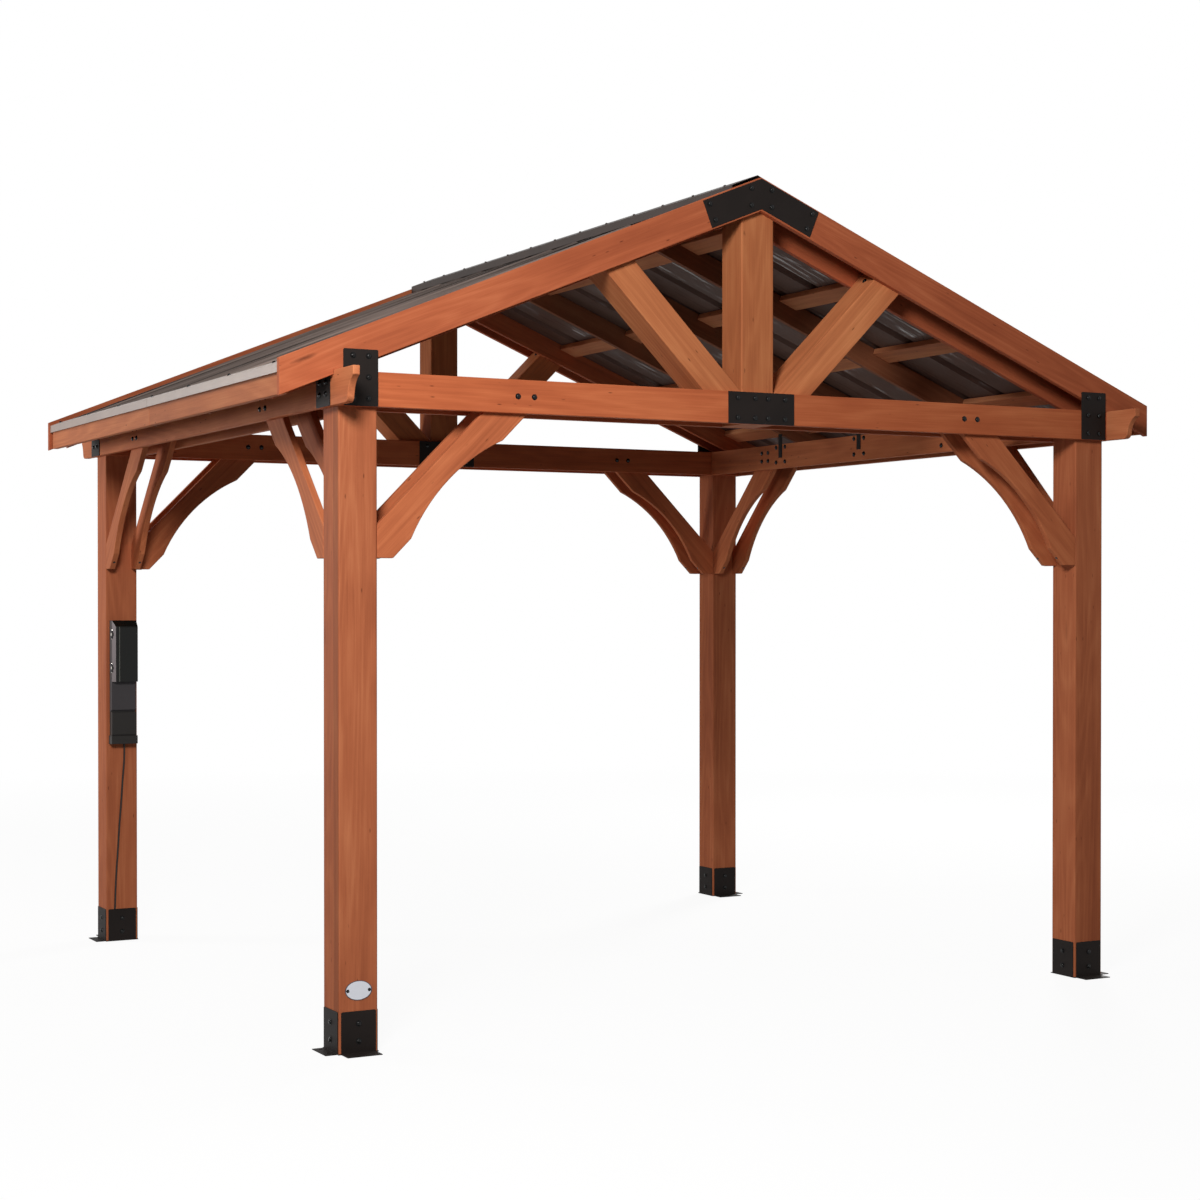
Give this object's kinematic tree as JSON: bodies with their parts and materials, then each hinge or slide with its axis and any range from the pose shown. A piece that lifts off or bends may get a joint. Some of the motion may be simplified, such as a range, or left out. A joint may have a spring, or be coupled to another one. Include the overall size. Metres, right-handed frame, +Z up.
{
  "type": "wooden gazebo",
  "caption": "Open wooden garden gazebo with a gable roof of ribbed metal sheets, square posts on steel shoes, sawn knee braces and trussed gables.",
  "frame": {"origin": "on the floor at the middle of the four posts, which is the bottom centre of the bounding box", "axes": "+X to the right across the gable, +Y along the ridge from the front gable to the back gable, +Z up"},
  "size_m": [3.74, 3.318, 3.0902],
  "materials": {
    "post_wood": "stained, satin",
    "beam_wood": "stained, satin",
    "rafter_wood": "stained, satin",
    "truss_wood": "stained, satin",
    "brace_wood": "stained, satin",
    "purlin_wood": "stained, satin",
    "fascia_wood": "stained, satin",
    "bracket_steel": "matte charcoal powder coat",
    "plate_steel": "matte charcoal powder coat",
    "roof_metal": "satin brown paint",
    "cap_metal": "satin brown paint",
    "trim_metal": "satin light paint",
    "outlet_plastic": "moulded, matte",
    "outlet_cover_plastic": "moulded, satin",
    "lead_rubber": "matte sheath",
    "badge_metal": "satin white enamel"
  },
  "bodies": {
    "shelter": {"post_front_left": "post_wood", "foot_bracket_front_left": "bracket_steel", "post_front_right": "post_wood", "foot_bracket_front_right": "bracket_steel", "post_back_left": "post_wood", "foot_bracket_back_left": "bracket_steel", "post_back_right": "post_wood", "foot_bracket_back_right": "bracket_steel", "chord_front": "beam_wood", "gable_rafters_front": "rafter_wood", "king_post_front": "truss_wood", "webs_front": "truss_wood", "braces_front": "brace_wood", "truss_plates_front": "plate_steel", "chord_back": "beam_wood", "gable_rafters_back": "rafter_wood", "king_post_back": "truss_wood", "webs_back": "truss_wood", "braces_back": "brace_wood", "truss_plates_back": "plate_steel", "header_left": "beam_wood", "braces_left": "brace_wood", "purlins_left": "purlin_wood", "roof_sheets_left": "roof_metal", "fascia_left": "fascia_wood", "drip_edge_left": "trim_metal", "header_plates_left": "plate_steel", "header_right": "beam_wood", "braces_right": "brace_wood", "purlins_right": "purlin_wood", "roof_sheets_right": "roof_metal", "fascia_right": "fascia_wood", "drip_edge_right": "trim_metal", "header_plates_right": "plate_steel", "rafter_pair_front": "rafter_wood", "rafter_pair_middle": "rafter_wood", "rafter_pair_back": "rafter_wood", "ridge_board": "rafter_wood", "ridge_cap": "cap_metal", "outlet_box": "outlet_plastic", "outlet_lead": "lead_rubber", "badge_plate": "badge_metal"},
    "cover": {"outlet_cover": "outlet_cover_plastic"}
  },
  "joints": [
    {"name": "outlet_cover_hinge", "type": "hinge", "parent": "shelter", "child": "cover", "pos_m": [-1.639, 1.288, 1.3], "axis": [0, 0, -1], "range_deg": [0, 100]}
  ]
}
